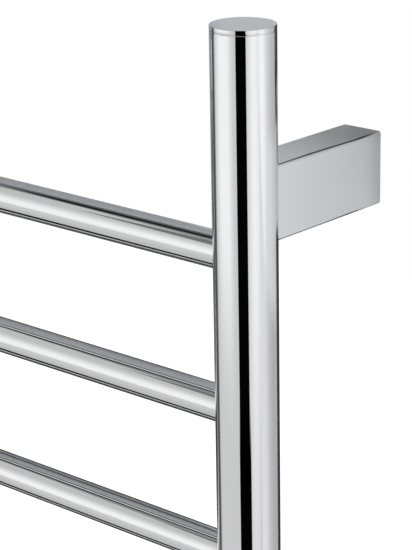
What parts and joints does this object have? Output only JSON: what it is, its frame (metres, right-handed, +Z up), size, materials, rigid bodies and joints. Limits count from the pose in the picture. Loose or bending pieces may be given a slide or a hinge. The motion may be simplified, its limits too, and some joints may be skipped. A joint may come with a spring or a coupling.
{
  "type": "towel warmer rack",
  "caption": "Electric ladder towel rack: round chrome bars between two round posts, on rectangular arms to the wall, with a push switch under one post.",
  "frame": {"origin": "centre of the wall plane, midway between the four arms", "axes": "+X to the right as a person faces the rack, +Y into the wall, +Z up"},
  "size_m": [0.5982, 0.129, 0.9446],
  "materials": {
    "polished_chrome": "mirror polished",
    "cast_block": "as cast, lightly blasted",
    "plated_steel": "zinc plated",
    "black_oxide_steel": "black oxide",
    "black_rubber": "matt",
    "guide_rubber": "matt silicone",
    "cable_sheath": "satin silicone",
    "shrink_sleeve": "matt",
    "cutout_can": "drawn",
    "terminal_plastic": "moulded",
    "live_insulation": "extruded",
    "neutral_insulation": "extruded",
    "earth_insulation": "extruded",
    "tinned_brass": "tinned",
    "switch_steel": "fine turned",
    "indicator_lens": "moulded"
  },
  "bodies": {
    "rack": {"arm_bolts": "plated_steel", "arm_lower_left": "polished_chrome", "arm_lower_right": "polished_chrome", "arm_upper_left": "polished_chrome", "arm_upper_right": "polished_chrome", "arm_washers": "plated_steel", "bar_1": "polished_chrome", "bar_2": "polished_chrome", "bar_3": "polished_chrome", "bar_4": "polished_chrome", "bar_5": "polished_chrome", "bar_6": "polished_chrome", "bar_7": "polished_chrome", "bar_8": "polished_chrome", "button_spring": "plated_steel", "cable_guides": "guide_rubber", "cap_bottom_left": "polished_chrome", "cap_bottom_right": "polished_chrome", "cap_seals": "black_rubber", "cap_top_left": "polished_chrome", "cap_top_right": "polished_chrome", "crimp_sleeves": "shrink_sleeve", "earth_screw": "plated_steel", "earth_tag": "tinned_brass", "grub_screws": "black_oxide_steel", "heating_cable": "cable_sheath", "indicator_ring": "indicator_lens", "inlet_bush": "black_rubber", "lead_earth": "earth_insulation", "lead_live": "live_insulation", "lead_neutral": "neutral_insulation", "lead_switched": "live_insulation", "post_grommet": "black_rubber", "post_left": "polished_chrome", "post_right": "polished_chrome", "saddle_nuts": "plated_steel", "switch_body": "switch_steel", "switch_nut": "plated_steel", "switch_terminals": "plated_steel", "terminal_block": "terminal_plastic", "terminal_screws": "plated_steel", "thermal_cutout": "cutout_can", "wall_block_lower_left": "cast_block", "wall_block_lower_right": "cast_block", "wall_block_upper_left": "cast_block", "wall_block_upper_right": "cast_block"},
    "power_button": {"power_button": "polished_chrome"}
  },
  "joints": [
    {"name": "power_button_press", "type": "slide", "parent": "rack", "child": "power_button", "axis": [0, 0, 1], "range_m": [0, 0.0025], "stiffness_N_per_m": 900, "springref_m": -0.001, "deforming": ["button_spring"]}
  ]
}
